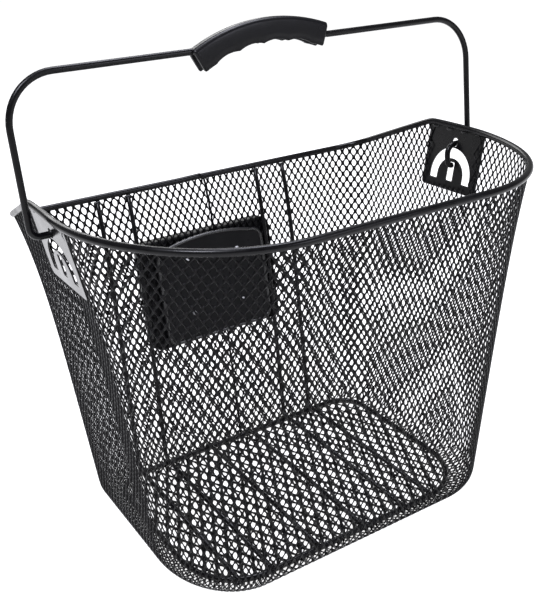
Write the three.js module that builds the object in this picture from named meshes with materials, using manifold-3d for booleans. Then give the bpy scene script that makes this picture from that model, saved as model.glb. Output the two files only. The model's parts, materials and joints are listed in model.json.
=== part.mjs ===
// Handlebar basket of expanded metal mesh on a wire frame, with a folding bail handle and the
// basket-side half of a click-on handlebar adapter.
//
// Frame, in millimetres: the origin is the centre of the floor, on its underside. +X runs along the
// basket's long side, -Y is the rounded front, +Y is the bicycle side and +Z is up.

import * as THREE from 'three';
import { mergeVertices } from 'three/addons/utils/BufferGeometryUtils.js';
import Module from 'manifold-3d';

const wasm = await Module();
wasm.setup();

// ---- driving dimensions -------------------------------------------------------------------------

const GAP = 0.3; // clearance between pieces that touch or are welded

const SHEET = 1.2; // thickness of the mesh skins and of the bail plates
const RIM_WIRE = 4.8;
const RING_WIRE = 4;
const RIB_WIRE = 3.5;
const BAIL_WIRE = 4.4;

// outlines seen from above: half width, front and back reach, front corner ellipse, back corner radius
const MOUTH = { half: 169, front: 140, back: 136, cornerX: 104, cornerY: 130, backRadius: 24 };
const SKIRT = { half: 136, front: 98.5, back: 85, cornerX: 50, cornerY: 65, backRadius: 24 };
const RING = { half: 119, front: 81.5, back: 81.5, cornerX: 44, cornerY: 50, backRadius: 24 };

const RING_Z = SHEET + GAP + RING_WIRE / 2;
const RIM_Z = 266.5; // rim height along the front and the sides
const RIM_DROP = 0.389; // fall of the rim per millimetre behind the ears
const EAR_Y = 31.5; // where the side rim starts to fall towards the back
const EAR_SHARE = 0.66; // how far along the mouth's straight side that is
const TURN_HEIGHT = 19; // greatest height over which the wall turns in to the base ring
// share of the wall's taper that is straight, the rest flares at the rim
const STRAIGHT_SHARE_BACK = 0.61;
const STRAIGHT_SHARE_FRONT = 0.86;
const FLARE_POWER = 6;
const FRONT_FROM = 20; // y where the sides start to take the front's shape, and where they have it
const FRONT_FULL = -70;
const MOUTH_SKEW = 3; // how far the front of the mouth sits to the left

const RIB_TOP_X = [-91.7, -66, 50.2, 77];
const RIB_FOOT_X = [-97, -72, 47.5, 74.5];
const FLOOR_WIRE_X = [-31.7, 8.3];
const RIB_FOOT_BEND = 8;

const HINGE_Z = 253.6;
// the bail plate in its own plane: x runs along +Y, y up the plate from the height of the hinge
const PLATE_X = 166.3;
const PLATE_TILT = THREE.MathUtils.degToRad(11);
const PLATE = { back: 30, front: -30, top: 9.8, bottom: -37.4, corner: 3 };
const PLATE_HOLE = { x: 0, y: 0.9, radius: 3.4 };
const PLATE_ARCH = { y: -25.7, outer: 22, inner: 13.8, foot: -30.2 };
const PLATE_SLOT = { x: 0, half: 3.5, bottom: -29.9, top: -14.8 };
const WINDOW_REACH = 40; // how far the mesh's opening for a plate runs past it, through and above

const BAIL_LEAN = THREE.MathUtils.degToRad(5.8); // the upright bail rests slightly back
const BAIL_HEIGHT = 95.6; // from the hinge to the straight bar
const BAIL_TOP_X = 180;
const BAIL_FOOT_X = 179.3;
const BAIL_BENDS = [4.2, 8, 6, 31, 12]; // from the tip through the hinge and the shoulder to the grip
const HOOK_X = 157.5;
const HOOK_DROP = 16.5;
const TIP_X = 161.75; // the wire's end turns out towards the plate's slot and stops short of it

const ARCH_RADIUS = 124; // radius of the arched wire inside the grip
const ARCH_RISE = 10;
const GRIP_CENTRE = { x: 3.5, y: -19 }; // middle of the grip's arc, measured from the hinge
const GRIP_TURN = THREE.MathUtils.degToRad(-3.8); // the grip has slid along the wire to the left
const GRIP_RADIUS = 130.5;
const GRIP_WALL = 2.4;
const GRIP_WIDTH = 11;
const GRIP_HEIGHT = 16.2;
const GRIP_HALF_ANGLE = THREE.MathUtils.degToRad(24);
const GRIP_CHANNEL = 5.4;
const GRIP_CUSP_ANGLE = THREE.MathUtils.degToRad(9.6);
const GRIP_SCALLOP = 1.6;
const GRIP_EDGE = 1.6; // rounding of its long edges
const GRIP_BORE = 5.4; // clearance for the wire where it leaves through the lower end's roof

// the adapter's heights are measured up the wall from the middle of its four screws
const ADAPTER_X = -3.9;
const ADAPTER_Z = 147.5;
const BACKING = { half: 50, bottom: -46, shoulder: 36.5, top: 41.5, corner: 10, thickness: 2.6 };
const BRACKET = { half: 61, bottom: -48.5, top: 42.5, corner: 8, thickness: 14 };
const CLAW_BLOCK = { half: 17, halfHeight: 30, corner: 2, depth: 9, slot: 4, slotDepth: 5 };
const SCREW = { x: 23.5, z: 22.5, radius: 1.75, headRadius: 3.4, headHeight: 2.6, tip: 2.8 };
const SCREW_CLEARANCE = 0.25;

// ---- materials ----------------------------------------------------------------------------------

const powderCoat = () => new THREE.MeshStandardMaterial({ color: 0x17181b, roughness: 0.35, metalness: 0.5 });
const blackPlastic = () => new THREE.MeshStandardMaterial({ color: 0x1c1d20, roughness: 0.5, metalness: 0 });
const zinc = () => new THREE.MeshStandardMaterial({ color: 0xb9bcc2, roughness: 0.3, metalness: 1 });

// ---- helpers ------------------------------------------------------------------------------------

const vec = (x, y, z) => new THREE.Vector3(x, y, z);

function toManifold(geometry) {
  const bare = new THREE.BufferGeometry();
  bare.setAttribute('position', geometry.getAttribute('position'));
  if (geometry.index) bare.setIndex(geometry.index);
  const merged = mergeVertices(bare, 1e-4);
  return new wasm.Manifold(
    new wasm.Mesh({
      numProp: 3,
      vertProperties: Float32Array.from(merged.getAttribute('position').array),
      triVerts: Uint32Array.from(merged.index.array),
    }),
  );
}

function fromManifold(solid) {
  const mesh = solid.getMesh();
  const geometry = new THREE.BufferGeometry();
  geometry.setAttribute('position', new THREE.BufferAttribute(mesh.vertProperties, 3));
  geometry.setIndex(new THREE.BufferAttribute(mesh.triVerts, 1));
  return geometry;
}

function cut(body, tools) {
  return fromManifold(tools.reduce((solid, tool) => solid.subtract(toManifold(tool)), toManifold(body)));
}

function join(pieces) {
  return fromManifold(pieces.map(toManifold).reduce((solid, piece) => solid.add(piece)));
}

// Stations along a wire's centre line. Each is one cross-section of the sweep.
class WireRoute extends THREE.Curve {
  constructor(stations) {
    super();
    this.stations = stations;
  }

  getPoint(t) {
    const last = this.stations.length - 1;
    const place = THREE.MathUtils.clamp(t, 0, 1) * last;
    const index = Math.min(Math.floor(place), last - 1);
    return this.stations[index].clone().lerp(this.stations[index + 1], place - index);
  }

  getPointAt(t) {
    return this.getPoint(t);
  }

  getTangent(t) {
    const last = this.stations.length - 1;
    const step = 0.5 / last;
    return this.getPoint(t + step).sub(this.getPoint(t - step)).normalize();
  }

  getTangentAt(t) {
    return this.getTangent(t);
  }

  getSpacedPoints() {
    return this.stations;
  }
}

function wire(stations, diameter, sides = 8) {
  const circle = [];
  for (let side = 0; side < sides; side += 1) {
    const angle = (2 * Math.PI * side) / sides;
    circle.push(new THREE.Vector2(Math.cos(angle), Math.sin(angle)).multiplyScalar(diameter / 2));
  }
  return new THREE.ExtrudeGeometry(new THREE.Shape(circle), {
    steps: stations.length - 1,
    extrudePath: new WireRoute(stations),
  });
}

// Stations of a bent wire: straight runs between corners, each corner an arc of its own radius.
function bentRoute(corners, radii, arcSteps = 4) {
  const stations = [corners[0]];
  for (let index = 1; index < corners.length - 1; index += 1) {
    const corner = corners[index];
    const back = corners[index - 1].clone().sub(corner).normalize();
    const ahead = corners[index + 1].clone().sub(corner).normalize();
    const half = back.angleTo(ahead) / 2;
    const radius = radii[index - 1];
    const centre = back.clone().add(ahead).normalize().multiplyScalar(radius / Math.sin(half)).add(corner);
    const reach = radius / Math.tan(half);
    const start = back.multiplyScalar(reach).add(corner).sub(centre);
    const turn = Math.PI - 2 * half;
    const axis = start.clone().cross(ahead.multiplyScalar(reach).add(corner).sub(centre)).normalize();
    for (let step = 0; step <= arcSteps; step += 1) {
      stations.push(start.clone().applyAxisAngle(axis, (turn * step) / arcSteps).add(centre));
    }
  }
  stations.push(corners[corners.length - 1]);
  return stations;
}

// Half of an outline, from the middle of the back round the right side to the middle of the front.
function halfOutline({ half, front, back, cornerX, cornerY, backRadius }) {
  const points = [];
  const backFlat = half - backRadius;
  for (const share of [0, 0.33, 0.67]) points.push(new THREE.Vector2(backFlat * share, back));
  for (let step = 0; step <= 5; step += 1) {
    const angle = (Math.PI / 2) * (1 - step / 5);
    points.push(new THREE.Vector2(Math.cos(angle), Math.sin(angle)).multiplyScalar(backRadius).add(
      new THREE.Vector2(backFlat, back - backRadius),
    ));
  }
  const sideStart = back - backRadius;
  const sideEnd = cornerY - front;
  for (const share of [0.3, EAR_SHARE - 0.06, EAR_SHARE, EAR_SHARE + 0.06, 0.86]) {
    points.push(new THREE.Vector2(half, THREE.MathUtils.lerp(sideStart, sideEnd, share)));
  }
  for (let step = 0; step <= 9; step += 1) {
    const angle = (-Math.PI / 2) * (step / 9);
    points.push(new THREE.Vector2(
      half - cornerX + cornerX * Math.cos(angle),
      sideEnd + cornerY * Math.sin(angle),
    ));
  }
  points.push(new THREE.Vector2((half - cornerX) / 2, -front));
  return points;
}

function fullOutline(shape) {
  const right = halfOutline(shape);
  const front = new THREE.Vector2(0, -shape.front);
  const left = right.slice(1).reverse().map((point) => new THREE.Vector2(-point.x, point.y));
  return [...right, front, ...left];
}

// 0 behind the middle of the sides, 1 along the front
const mouth = fullOutline(MOUTH);
const frontness = mouth.map((point) => THREE.MathUtils.smoothstep(-point.y, -FRONT_FROM, -FRONT_FULL));
mouth.forEach((point, index) => point.setX(point.x - MOUTH_SKEW * frontness[index]));
const skirt = fullOutline(SKIRT);
const ring = fullOutline(RING);

// A point of the wall's middle surface above outline point `index`.
function wallPoint(index, z) {
  const rise = (z - RING_Z) / (RIM_Z - RING_Z);
  const straight = THREE.MathUtils.lerp(STRAIGHT_SHARE_BACK, STRAIGHT_SHARE_FRONT, frontness[index]);
  const share = straight * rise + (1 - straight) * rise ** FLARE_POWER;
  const place = skirt[index].clone().lerp(mouth[index], share);
  return vec(place.x, place.y, z);
}

const rimHeight = (y) => RIM_Z - RIM_DROP * Math.max(0, y - EAR_Y);

// The rim runs where the wall meets its own height profile.
function rimPoint(index) {
  let point = wallPoint(index, RIM_Z);
  for (let pass = 0; pass < 12; pass += 1) point = wallPoint(index, rimHeight(point.y));
  return point;
}

// y of the back wall's middle surface on the centre line
const backWallY = (z) => wallPoint(0, z).y;

// ---- mesh skins ---------------------------------------------------------------------------------

// Rows of the side skin's middle surface for one outline point, from the ring up to the rim.
function skinColumn(index) {
  const low = SHEET / 2;
  const [before, after] = [index + ring.length - 1, index + 1].map((place) => ring[place % ring.length]);
  const outward = before.clone().sub(after).normalize().rotateAround(new THREE.Vector2(), -Math.PI / 2);
  const height = Math.min(TURN_HEIGHT, 1.1 * Math.abs(outward.dot(skirt[index].clone().sub(ring[index]))));
  const turn = [];
  for (let step = 0; step <= 4; step += 1) {
    const angle = (Math.PI / 2) * (step / 5);
    const z = low + height * (1 - Math.cos(angle));
    const outer = wallPoint(index, z);
    const place = ring[index].clone().lerp(new THREE.Vector2(outer.x, outer.y), Math.sin(angle));
    turn.push(vec(place.x, place.y, z));
  }
  const foot = low + height;
  const top = rimPoint(index).z - RIM_WIRE / 2 - GAP;
  for (const share of [0, 0.35, 0.65, 0.82, 0.92, 1]) {
    turn.push(wallPoint(index, THREE.MathUtils.lerp(foot, top, share)));
  }
  return turn;
}

function sideSkin() {
  const columns = ring.map((_, index) => skinColumn(index));
  const count = columns.length;
  const rows = columns[0].length;
  const at = (column, row) => columns[(column + count) % count][THREE.MathUtils.clamp(row, 0, rows - 1)];
  const positions = [];
  for (const side of [0.5, -0.5]) {
    for (let column = 0; column < count; column += 1) {
      for (let row = 0; row < rows; row += 1) {
        const along = at(column + 1, row).clone().sub(at(column - 1, row));
        const up = at(column, row + 1).clone().sub(at(column, row - 1));
        const normal = up.cross(along).normalize();
        positions.push(...at(column, row).clone().addScaledVector(normal, side * SHEET));
      }
    }
  }
  const outer = (column, row) => (column % count) * rows + row;
  const inner = (column, row) => count * rows + outer(column, row);
  const triangles = [];
  const quad = (a, b, c, d) => triangles.push(a, b, c, a, c, d);
  const top = rows - 1;
  for (let column = 0; column < count; column += 1) {
    const next = column + 1;
    for (let row = 0; row < top; row += 1) {
      quad(outer(column, row), outer(column, row + 1), outer(next, row + 1), outer(next, row));
      quad(inner(column, row), inner(next, row), inner(next, row + 1), inner(column, row + 1));
    }
    quad(outer(column, top), inner(column, top), inner(next, top), outer(next, top));
    quad(outer(column, 0), outer(next, 0), inner(next, 0), inner(column, 0));
  }
  const geometry = new THREE.BufferGeometry();
  geometry.setAttribute('position', new THREE.Float32BufferAttribute(positions, 3));
  geometry.setIndex(triangles);
  return geometry;
}

function floorSkin() {
  const inset = RING.half - GAP - SHEET / 2;
  const outline = ring.map((point) => point.clone().multiplyScalar(inset / RING.half));
  return new THREE.ExtrudeGeometry(new THREE.Shape(outline), { depth: SHEET, bevelEnabled: false });
}

// ---- wire frame ---------------------------------------------------------------------------------

// A loop of wire with its two ends butted at the middle of the back.
function loopStations(points) {
  const [start, end] = [1, -1].map((side) => points[0].clone().setX((side * GAP) / 2));
  return [start, ...points.slice(1), end];
}

const topRim = () => wire(loopStations(mouth.map((_, index) => rimPoint(index))), RIM_WIRE);
const baseRing = () => wire(loopStations(ring.map((point) => vec(point.x, point.y, RING_Z))), RING_WIRE);

const floorWireZ = RING_Z + (RING_WIRE + RIB_WIRE) / 2 + GAP;
const ribOffset = (SHEET + RIB_WIRE) / 2 + GAP;

// A rib stands against the inside of the back wall and runs on across the floor as one bent wire.
function ribWire(topX, footX) {
  const backTop = rimPoint(0).z - RIM_WIRE / 2 - RIB_WIRE / 2;
  const heights = [backTop, 222, 214, 204, 190, 168, 130, 90, 55, 24];
  const stand = heights.map((z) => vec(
    THREE.MathUtils.lerp(footX, topX, z / backTop),
    backWallY(z) - ribOffset,
    z,
  ));
  const corner = vec(footX, backWallY(floorWireZ) - ribOffset, floorWireZ);
  const end = vec(footX, -RING.front, floorWireZ);
  const bend = bentRoute([stand[stand.length - 1], corner, end], [RIB_FOOT_BEND]);
  return wire([...stand.slice(0, -1), ...bend], RIB_WIRE);
}

function floorWire(x) {
  const stations = [RING.back, 0, -RING.front].map((y) => vec(x, y, floorWireZ));
  return wire(stations, RIB_WIRE);
}

// ---- bail, grip and bail plates -----------------------------------------------------------------

const ARCH_CENTRE = BAIL_HEIGHT + ARCH_RISE - ARCH_RADIUS;
const ARCH_HALF_ANGLE = Math.acos(1 - ARCH_RISE / ARCH_RADIUS);

// A point of the upright bail on an arc about the centre of the arched wire.
function archPoint(radius, angle) {
  return new THREE.Vector2(radius * Math.sin(angle), ARCH_CENTRE + radius * Math.cos(angle));
}

// Half of the upright bail from its tip to the start of the crown, with the hinge axis as origin.
function halfBail() {
  const arch = [0.8, 0.6, 0.4, 0.2].map((share) => archPoint(ARCH_RADIUS, share * ARCH_HALF_ANGLE));
  const corners = [
    vec(TIP_X, 0, -HOOK_DROP),
    vec(HOOK_X, 0, -HOOK_DROP),
    vec(HOOK_X, 0, 0),
    vec(BAIL_FOOT_X, 0, 0),
    vec(BAIL_TOP_X, 0, BAIL_HEIGHT),
    vec(ARCH_RADIUS * Math.sin(ARCH_HALF_ANGLE), 0, BAIL_HEIGHT),
    vec(arch[0].x, 0, arch[0].y),
  ];
  const crown = arch.slice(1).map((point) => vec(point.x, 0, point.y));
  return [...bentRoute(corners, BAIL_BENDS, 5), ...crown];
}

function wholeBail() {
  const right = halfBail();
  const crown = vec(0, 0, BAIL_HEIGHT + ARCH_RISE);
  const left = right.slice().reverse().map((point) => vec(-point.x, point.y, point.z));
  return [...right, crown, ...left];
}

// A point of the grip on an arc about its own centre.
function gripPoint(radius, angle) {
  return new THREE.Vector2(
    GRIP_CENTRE.x + radius * Math.sin(angle + GRIP_TURN),
    GRIP_CENTRE.y + radius * Math.cos(angle + GRIP_TURN),
  );
}

// Side view of the arched grip: plain arc on top, finger grooves below.
function gripOutline() {
  const inner = GRIP_RADIUS - GRIP_HEIGHT;
  const grooves = 4;
  const stepsPerGroove = 5;
  const points = [];
  for (let step = -7; step <= 7; step += 1) points.push(gripPoint(GRIP_RADIUS, (GRIP_HALF_ANGLE * step) / 7));
  points.push(gripPoint(inner, GRIP_HALF_ANGLE));
  for (let step = 0; step <= grooves * stepsPerGroove; step += 1) {
    const turn = step / stepsPerGroove;
    const depth = GRIP_SCALLOP * Math.abs(Math.sin(Math.PI * turn));
    points.push(gripPoint(inner + depth, GRIP_CUSP_ANGLE * (grooves / 2 - turn)));
  }
  points.push(gripPoint(inner, -GRIP_HALF_ANGLE));
  return points;
}

// The channel that houses the wire, open below and at both ends.
function gripChannel() {
  const points = [];
  const roof = GRIP_RADIUS - GRIP_WALL;
  for (let step = -7; step <= 7; step += 1) points.push(gripPoint(roof, (GRIP_HALF_ANGLE * step) / 6));
  const tool = new THREE.ExtrudeGeometry(
    new THREE.Shape([
      ...points,
      new THREE.Vector2(points[14].x, points[14].y - 2 * GRIP_HEIGHT),
      new THREE.Vector2(points[0].x, points[0].y - 2 * GRIP_HEIGHT),
    ]),
    { depth: GRIP_CHANNEL, bevelEnabled: false },
  );
  return tool.rotateX(Math.PI / 2).translate(0, GRIP_CHANNEL / 2, 0);
}

function grip() {
  const body = new THREE.ExtrudeGeometry(new THREE.Shape(gripOutline()), {
    depth: GRIP_WIDTH - 2 * GRIP_EDGE,
    bevelThickness: GRIP_EDGE,
    bevelSize: GRIP_EDGE,
    bevelOffset: -GRIP_EDGE,
    bevelSegments: 2,
  });
  body.rotateX(Math.PI / 2).translate(0, GRIP_WIDTH / 2 - GRIP_EDGE, 0);
  return cut(body, [gripChannel(), wire(wholeBail(), GRIP_BORE)]);
}

function plateShape() {
  const { back, front, top, bottom, corner } = PLATE;
  const shape = new THREE.Shape();
  shape.moveTo(back, top);
  shape.lineTo(front, top);
  shape.lineTo(front, bottom + corner);
  shape.quadraticCurveTo(front, bottom, front + corner, bottom);
  shape.lineTo(back - corner, bottom);
  shape.quadraticCurveTo(back, bottom, back, bottom + corner);
  shape.closePath();

  const hole = new THREE.Path();
  hole.absarc(PLATE_HOLE.x, PLATE_HOLE.y, PLATE_HOLE.radius, 0, 2 * Math.PI, true);

  const { y, outer, inner, foot } = PLATE_ARCH;
  const arch = new THREE.Path();
  arch.moveTo(outer, foot);
  arch.lineTo(outer, y);
  arch.absarc(0, y, outer, 0, Math.PI, false);
  arch.lineTo(-outer, foot);
  arch.lineTo(-inner, foot);
  arch.lineTo(-inner, y);
  arch.absarc(0, y, inner, Math.PI, 0, true);
  arch.lineTo(inner, foot);
  arch.closePath();

  const slot = new THREE.Path();
  slot.moveTo(PLATE_SLOT.x - PLATE_SLOT.half, PLATE_SLOT.bottom);
  slot.lineTo(PLATE_SLOT.x + PLATE_SLOT.half, PLATE_SLOT.bottom);
  slot.lineTo(PLATE_SLOT.x + PLATE_SLOT.half, PLATE_SLOT.top);
  slot.lineTo(PLATE_SLOT.x - PLATE_SLOT.half, PLATE_SLOT.top);
  slot.closePath();

  shape.holes.push(hole, arch, slot);
  return shape;
}

// Places a drawing whose x runs along +Y and whose y runs up the plate; side is 1 right, -1 left.
function plateFrame(side) {
  const along = vec(0, 1, 0);
  const up = vec(side * Math.sin(PLATE_TILT), 0, Math.cos(PLATE_TILT));
  const normal = along.clone().cross(up);
  return new THREE.Matrix4().makeBasis(along, up, normal).setPosition(side * PLATE_X, 0, HINGE_Z);
}

function bailPlate(side) {
  const settings = { depth: SHEET, bevelEnabled: false, curveSegments: 8 };
  const geometry = new THREE.ExtrudeGeometry(plateShape(), settings);
  geometry.translate(0, 0, -SHEET / 2);
  return geometry.applyMatrix4(plateFrame(side));
}

// The opening that the mesh leaves for a bail plate, up through the rim's edge.
function plateWindow(side) {
  const width = PLATE.back - PLATE.front + 2 * GAP;
  const bottom = PLATE.bottom - GAP;
  const box = new THREE.BoxGeometry(width, WINDOW_REACH - bottom, WINDOW_REACH);
  box.translate((PLATE.back + PLATE.front) / 2, (WINDOW_REACH + bottom) / 2, 0);
  return box.applyMatrix4(plateFrame(side));
}

// ---- adapter ------------------------------------------------------------------------------------

// The adapter stands parallel to the back wall behind it. In its own frame x is the basket's x, y
// runs up the wall and z points into the basket, from the chord of the wall behind the bracket.
const adapterLow = backWallY(ADAPTER_Z + BRACKET.bottom);
const adapterHigh = backWallY(ADAPTER_Z + BRACKET.top);
const ADAPTER_TILT = Math.atan2(adapterHigh - adapterLow, BRACKET.top - BRACKET.bottom);
const ADAPTER_Y = adapterLow - BRACKET.bottom * Math.tan(ADAPTER_TILT);
const WALL_SAG = 0.8; // how far the wall bows forward of that chord
const SKIN_INSIDE = SHEET / 2 + WALL_SAG + GAP;
const SKIN_OUTSIDE = -SHEET / 2 - GAP;

function onAdapter(geometry) {
  const along = vec(1, 0, 0);
  const up = vec(0, Math.sin(ADAPTER_TILT), Math.cos(ADAPTER_TILT));
  const forward = along.clone().cross(up);
  return geometry.applyMatrix4(
    new THREE.Matrix4().makeBasis(along, up, forward).setPosition(ADAPTER_X, ADAPTER_Y, ADAPTER_Z),
  );
}

function slab(shape, from, to, bevel = 0) {
  const geometry = new THREE.ExtrudeGeometry(shape, {
    depth: to - from - 2 * bevel,
    bevelEnabled: bevel > 0,
    bevelThickness: bevel,
    bevelSize: bevel,
    bevelOffset: -bevel,
    bevelSegments: 2,
    curveSegments: 4,
  });
  geometry.translate(0, 0, from + bevel);
  return geometry;
}

function roundedRect(half, low, high, corner) {
  const shape = new THREE.Shape();
  shape.moveTo(half, low + corner);
  shape.lineTo(half, high - corner);
  shape.absarc(half - corner, high - corner, corner, 0, Math.PI / 2, false);
  shape.lineTo(-half + corner, high);
  shape.absarc(-half + corner, high - corner, corner, Math.PI / 2, Math.PI, false);
  shape.lineTo(-half, low + corner);
  shape.absarc(-half + corner, low + corner, corner, Math.PI, 1.5 * Math.PI, false);
  shape.lineTo(half - corner, low);
  shape.absarc(half - corner, low + corner, corner, 1.5 * Math.PI, 2 * Math.PI, false);
  return shape;
}

function rod(radius, from, to, x, z) {
  const geometry = new THREE.CylinderGeometry(radius, radius, to - from, 12);
  geometry.rotateX(Math.PI / 2);
  geometry.translate(x, z, (from + to) / 2);
  return geometry;
}

const screwPlaces = [[-1, 1], [1, 1], [-1, -1], [1, -1]].map(([x, z]) => [x * SCREW.x, z * SCREW.z]);

function screwHoles(from, to) {
  return screwPlaces.map(([x, z]) => rod(SCREW.radius + SCREW_CLEARANCE, from, to, x, z));
}

// Backing plate inside the basket, with an arched top edge.
function backingPlate() {
  const { half, bottom, shoulder, top, corner, thickness } = BACKING;
  const shape = new THREE.Shape();
  shape.moveTo(half - corner, bottom);
  shape.quadraticCurveTo(half, bottom, half, bottom + corner);
  shape.lineTo(half, shoulder - corner);
  shape.quadraticCurveTo(half, shoulder, half - corner, shoulder);
  shape.quadraticCurveTo(0, 2 * top - shoulder, -half + corner, shoulder);
  shape.quadraticCurveTo(-half, shoulder, -half, shoulder - corner);
  shape.lineTo(-half, bottom + corner);
  shape.quadraticCurveTo(-half, bottom, -half + corner, bottom);
  const body = slab(shape, SKIN_INSIDE, SKIN_INSIDE + thickness, 0.6);
  return onAdapter(cut(body, screwHoles(SKIN_INSIDE - 1, SKIN_INSIDE + thickness + 1)));
}

const bracketBack = SKIN_OUTSIDE - BRACKET.thickness;
const blockBack = bracketBack - CLAW_BLOCK.depth;

// Outer bracket: a slab against the wall with a claw block that the handlebar half slides over.
function outerBracket() {
  const { half, bottom, top, corner } = BRACKET;
  const body = slab(roundedRect(half, bottom, top, corner), bracketBack, SKIN_OUTSIDE, 1.5);
  const block = slab(
    roundedRect(CLAW_BLOCK.half, -CLAW_BLOCK.halfHeight, CLAW_BLOCK.halfHeight, CLAW_BLOCK.corner),
    blockBack,
    bracketBack + 1,
  );
  const grooves = [-1, 1].map((side) => {
    const { slot, slotDepth, halfHeight } = CLAW_BLOCK;
    const groove = new THREE.BoxGeometry(2 * slotDepth, 3 * halfHeight, slot);
    groove.translate(side * CLAW_BLOCK.half, 0, bracketBack - slot / 2);
    return groove;
  });
  const counterbores = screwPlaces.map(([x, z]) => rod(
    SCREW.headRadius + SCREW_CLEARANCE,
    bracketBack - 1,
    bracketBack + SCREW.headHeight + 1,
    x,
    z,
  ));
  const holes = [...counterbores, ...screwHoles(bracketBack - 1, 1)];
  return onAdapter(cut(join([body, block]), [...grooves, ...holes]));
}

// Screw with its head sunk in the bracket and its rounded tip standing out inside the basket.
function screw(x, z) {
  const seat = bracketBack + SCREW.headHeight + 1 - GAP;
  const tip = SKIN_INSIDE + BACKING.thickness + SCREW.tip;
  const profile = [
    new THREE.Vector2(0, seat - SCREW.headHeight),
    new THREE.Vector2(SCREW.headRadius * 0.8, seat - SCREW.headHeight),
    new THREE.Vector2(SCREW.headRadius, seat - SCREW.headHeight * 0.6),
    new THREE.Vector2(SCREW.headRadius, seat),
    new THREE.Vector2(SCREW.radius, seat),
    new THREE.Vector2(SCREW.radius, tip - SCREW.radius),
    new THREE.Vector2(SCREW.radius * 0.75, tip - SCREW.radius * 0.35),
    new THREE.Vector2(0, tip),
  ];
  const geometry = new THREE.LatheGeometry(profile, 12);
  geometry.rotateX(Math.PI / 2);
  geometry.translate(x, z, 0);
  return onAdapter(geometry);
}

// ---- assembly -----------------------------------------------------------------------------------

const basket = new THREE.Group();
basket.name = 'handlebar_basket';

function add(name, geometry, material) {
  const mesh = new THREE.Mesh(geometry, material);
  mesh.name = name;
  basket.add(mesh);
  return mesh;
}

const wallHoles = screwHoles(-6, 6).map(onAdapter);
add('side_mesh', cut(sideSkin(), [plateWindow(1), plateWindow(-1), ...wallHoles]), powderCoat());
add('floor_mesh', floorSkin(), powderCoat());
add('top_rim', topRim(), powderCoat());
add('base_ring', baseRing(), powderCoat());
RIB_TOP_X.forEach((topX, index) => {
  add(`back_rib_${index + 1}`, ribWire(topX, RIB_FOOT_X[index]), powderCoat());
});
FLOOR_WIRE_X.forEach((x, index) => add(`floor_wire_${index + 1}`, floorWire(x), powderCoat()));

add('bail_plate_right', bailPlate(1), powderCoat());
add('bail_plate_left', bailPlate(-1), powderCoat());

const bail = [
  add('bail_wire', wire(wholeBail(), BAIL_WIRE), powderCoat()),
  add('bail_grip', grip(), blackPlastic()),
];
for (const piece of bail) {
  piece.rotation.x = -BAIL_LEAN;
  piece.position.z = HINGE_Z;
}

add('backing_plate', backingPlate(), blackPlastic());
add('outer_bracket', outerBracket(), blackPlastic());
screwPlaces.forEach(([x, z], index) => add(`bracket_screw_${index + 1}`, screw(x, z), zinc()));

export default basket;
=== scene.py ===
"""Handlebar basket of black expanded metal with a folding bail, seen from the front left.

All lengths are in metres in the frame of the CAD model: +X along the basket, +Y to the bicycle,
+Z up.
"""

import json
import math

import bpy
import numpy as np
from mathutils import Matrix, Vector


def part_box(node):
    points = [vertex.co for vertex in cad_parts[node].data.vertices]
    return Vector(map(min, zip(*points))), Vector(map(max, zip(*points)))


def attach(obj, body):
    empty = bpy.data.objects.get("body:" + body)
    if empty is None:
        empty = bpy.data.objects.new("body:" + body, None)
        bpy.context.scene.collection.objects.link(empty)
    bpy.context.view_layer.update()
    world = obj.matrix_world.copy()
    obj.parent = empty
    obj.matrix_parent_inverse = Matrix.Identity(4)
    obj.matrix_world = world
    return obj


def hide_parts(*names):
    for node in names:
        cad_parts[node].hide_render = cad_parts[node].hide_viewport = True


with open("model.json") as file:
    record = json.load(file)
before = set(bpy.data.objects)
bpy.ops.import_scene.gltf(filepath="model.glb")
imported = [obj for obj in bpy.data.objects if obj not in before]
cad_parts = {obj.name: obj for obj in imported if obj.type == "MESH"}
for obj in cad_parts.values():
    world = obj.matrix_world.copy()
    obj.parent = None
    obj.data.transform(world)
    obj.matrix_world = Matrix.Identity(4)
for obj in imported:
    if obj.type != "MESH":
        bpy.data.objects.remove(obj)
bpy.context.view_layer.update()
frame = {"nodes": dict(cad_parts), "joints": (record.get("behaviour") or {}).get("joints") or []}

MM = 0.001

# ---- camera --------------------------------------------------------------------------------------

CAMERA_PLACE = Vector((-0.3215, -0.5063, 0.4301))
CAMERA_RIGHT = Vector((0.8426, -0.5369, -0.0428))
CAMERA_BACK = Vector((-0.4778, -0.7818, 0.4007))
SENSOR_WIDTH = 36  # millimetres, as is the lens
CAMERA_LENS = 58.92
CAMERA_SHIFT = -0.0085  # share of the frame's width

# ---- sizes ---------------------------------------------------------------------------------------

floor_low, floor_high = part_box("floor_mesh")
ring_low, ring_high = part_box("base_ring")
rib_low, rib_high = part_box("back_rib_1")
plate_low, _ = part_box("bail_plate_right")
bail_joint = next(joint for joint in frame["joints"] if joint["name"] == "bail_swing")
HINGE = Vector(bail_joint["pos_m"])

SHEET = floor_high[2] - floor_low[2]
RING_WIRE = ring_high[2] - ring_low[2]
RIM_WIRE = 4.8 * MM
RIB_WIRE = 3.5 * MM
BAIL_WIRE = 4.4 * MM
GAP = 0.3 * MM

# outlines from above: half width, front, back, front corner's ellipse, back corner's radius
MOUTH = dict(half=0.169, front=0.140, back=0.136, corner=(0.104, 0.130), back_radius=0.024)
SKIRT = dict(half=0.136, front=0.0985, back=0.085, corner=(0.050, 0.065), back_radius=0.024)
RING = dict(half=0.119, front=0.0815, back=0.0815, corner=(0.044, 0.050), back_radius=0.024)

OUTLINE_STEPS = 40  # points along each side and each corner of half an outline

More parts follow.
